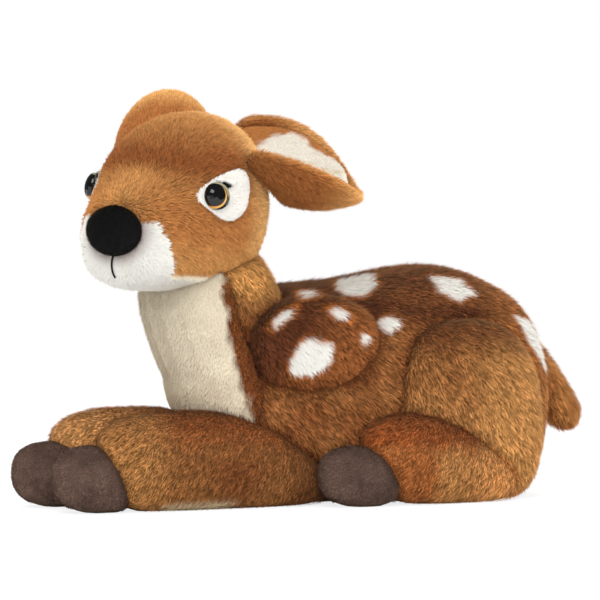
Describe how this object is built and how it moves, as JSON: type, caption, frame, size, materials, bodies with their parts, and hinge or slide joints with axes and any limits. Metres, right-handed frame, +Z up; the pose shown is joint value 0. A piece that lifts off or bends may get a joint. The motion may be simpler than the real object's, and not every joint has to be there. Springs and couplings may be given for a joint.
{
  "type": "stuffed toy deer",
  "caption": "A lying spotted fawn soft toy of sewn plush over fibre filling, with folded legs, a turned head, cupped ears, plastic eyes and a short tail. It rests on its belly.",
  "frame": {"origin": "A point on the belly panel's flat underside, under the middle of the chest seam, on the plane that the deer lies on.", "axes": "+Z is up. The deer lies along X with its forelegs towards -X and its tail towards +X. Its left side is towards -Y, and the head is turned that way."},
  "size_m": [0.3763, 0.1786, 0.2493],
  "materials": {
    "brown_plush": "matte",
    "dark_plush": "matte",
    "rust_plush": "matte",
    "cream_plush": "matte",
    "white_plush": "matte",
    "hoof_plush": "matte",
    "nose_felt": "matte",
    "black_felt": "matte",
    "black_thread": "matte",
    "eye_plastic": "gloss",
    "washer_plastic": "satin",
    "fibre_filling": "matte"
  },
  "bodies": {
    "root": {"torso_skin": "brown_plush", "torso_filling": "fibre_filling", "belly_panel": "cream_plush", "neck": "brown_plush", "bib_panel": "cream_plush", "shoulder_left": "dark_plush", "foreleg_left": "rust_plush", "fore_hoof_left": "hoof_plush", "haunch_left": "brown_plush", "hind_leg_left": "rust_plush", "hind_hoof_left": "hoof_plush", "shoulder_right": "dark_plush", "foreleg_right": "rust_plush", "fore_hoof_right": "hoof_plush", "haunch_right": "brown_plush", "hind_leg_right": "rust_plush", "hind_hoof_right": "hoof_plush"},
    "head": {"head_skin": "brown_plush", "head_filling": "fibre_filling", "muzzle_panel": "white_plush", "nose_pad": "nose_felt", "mouth_stitch": "black_thread", "eye_left": "eye_plastic", "eye_right": "eye_plastic", "eye_washer_left": "washer_plastic", "eye_washer_right": "washer_plastic", "eye_patch_left": "white_plush", "eye_patch_right": "white_plush", "lash_left": "black_felt", "lash_right": "black_felt"},
    "ear_left": {"ear_left": "brown_plush", "ear_lining_left": "cream_plush"},
    "ear_right": {"ear_right": "brown_plush", "ear_lining_right": "cream_plush"},
    "tail": {"tail": "brown_plush"}
  },
  "joints": [
    {"name": "head_turn", "type": "hinge", "parent": "root", "child": "head", "pos_m": [-0.07242, 0, 0.14882], "axis": [-0.4226, 0, 0.9063], "range_deg": [-20, 20], "stiffness_Nm_per_rad": 0.4, "deforming": ["neck", "bib_panel"]},
    {"name": "ear_left_flop", "type": "hinge", "parent": "head", "child": "ear_left", "pos_m": [-0.04726, -0.02408, 0.21231], "axis": [-0.2986, -0.8956, -0.3299], "range_deg": [-15, 15], "stiffness_Nm_per_rad": 0.06},
    {"name": "ear_right_flop", "type": "hinge", "parent": "head", "child": "ear_right", "pos_m": [-0.06858, 0.04008, 0.20874], "axis": [0.8593, -0.5097, -0.0425], "range_deg": [-15, 15], "stiffness_Nm_per_rad": 0.06},
    {"name": "tail_flop", "type": "hinge", "parent": "root", "child": "tail", "pos_m": [0.16452, 0, 0.0944], "axis": [0, 1, 0], "range_deg": [-15, 15], "stiffness_Nm_per_rad": 0.06}
  ]
}
